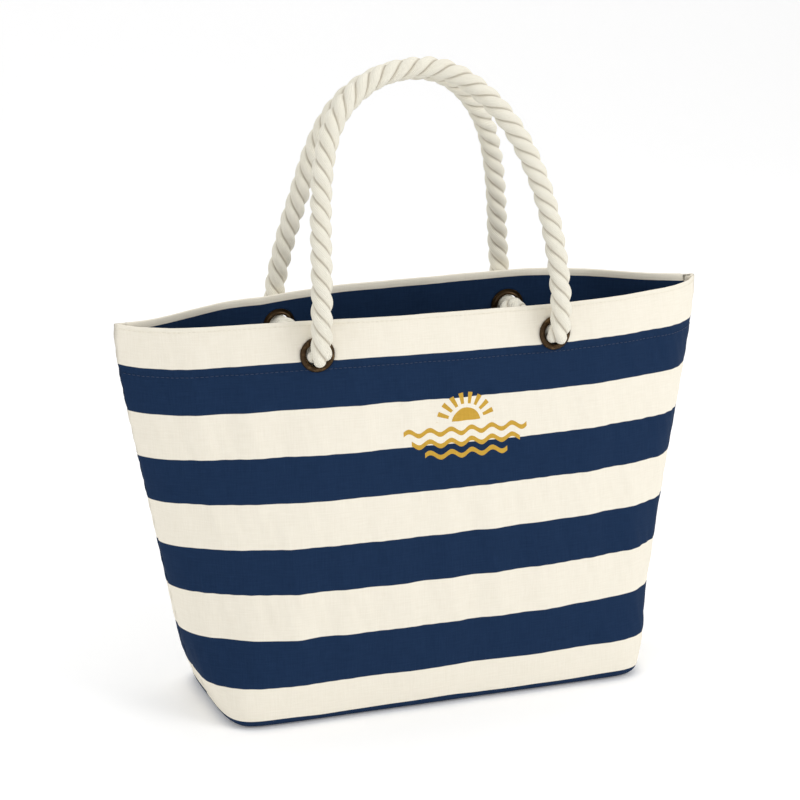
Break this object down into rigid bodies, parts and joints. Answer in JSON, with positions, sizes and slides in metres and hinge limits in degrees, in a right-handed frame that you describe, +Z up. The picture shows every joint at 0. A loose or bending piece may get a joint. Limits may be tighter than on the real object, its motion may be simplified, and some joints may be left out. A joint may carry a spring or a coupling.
{
  "type": "beach bag",
  "caption": "Open-topped striped canvas beach bag with a boxed base, rope handles that swing from eyelets in the rim's hem, and stopper knots inside.",
  "frame": {"origin": "centre of the base, on the surface that the bag stands on", "axes": "+X along the bag's width, from the left seam to the right one seen from the front; the printed front panel faces -Y; +Z up"},
  "size_m": [0.5362, 0.1702, 0.5515],
  "materials": {
    "striped_canvas": "plain-weave cotton canvas in cream and navy stripes across the bag, with a flat gold print",
    "seam_tape": "folded cotton binding tape",
    "cotton_rope": "natural three-strand cotton rope",
    "whipping_twine": "waxed cotton twine",
    "antique_brass": "dark antique brass, satin"
  },
  "bodies": {
    "bag": {"front_panel": "striped_canvas", "back_panel": "striped_canvas", "left_seam_tape": "seam_tape", "right_seam_tape": "seam_tape", "left_corner_tape": "seam_tape", "right_corner_tape": "seam_tape", "base_seam_tape": "seam_tape", "front_left_eyelet": "antique_brass", "front_left_washer": "antique_brass", "front_left_rope_end": "cotton_rope", "front_left_whipping": "whipping_twine", "front_right_eyelet": "antique_brass", "front_right_washer": "antique_brass", "front_right_rope_end": "cotton_rope", "front_right_whipping": "whipping_twine", "back_left_eyelet": "antique_brass", "back_left_washer": "antique_brass", "back_left_rope_end": "cotton_rope", "back_left_whipping": "whipping_twine", "back_right_eyelet": "antique_brass", "back_right_washer": "antique_brass", "back_right_rope_end": "cotton_rope", "back_right_whipping": "whipping_twine"},
    "front_handle": {"front_handle_rope": "cotton_rope"},
    "back_handle": {"back_handle_rope": "cotton_rope"}
  },
  "joints": [
    {"name": "front_handle_swing", "type": "hinge", "parent": "bag", "child": "front_handle", "pos_m": [0, -0.0761, 0.323], "axis": [1, 0, 0], "range_deg": [0, 180]},
    {"name": "back_handle_swing", "type": "hinge", "parent": "bag", "child": "back_handle", "pos_m": [0, 0.0761, 0.323], "axis": [-1, 0, 0], "range_deg": [0, 180]}
  ]
}
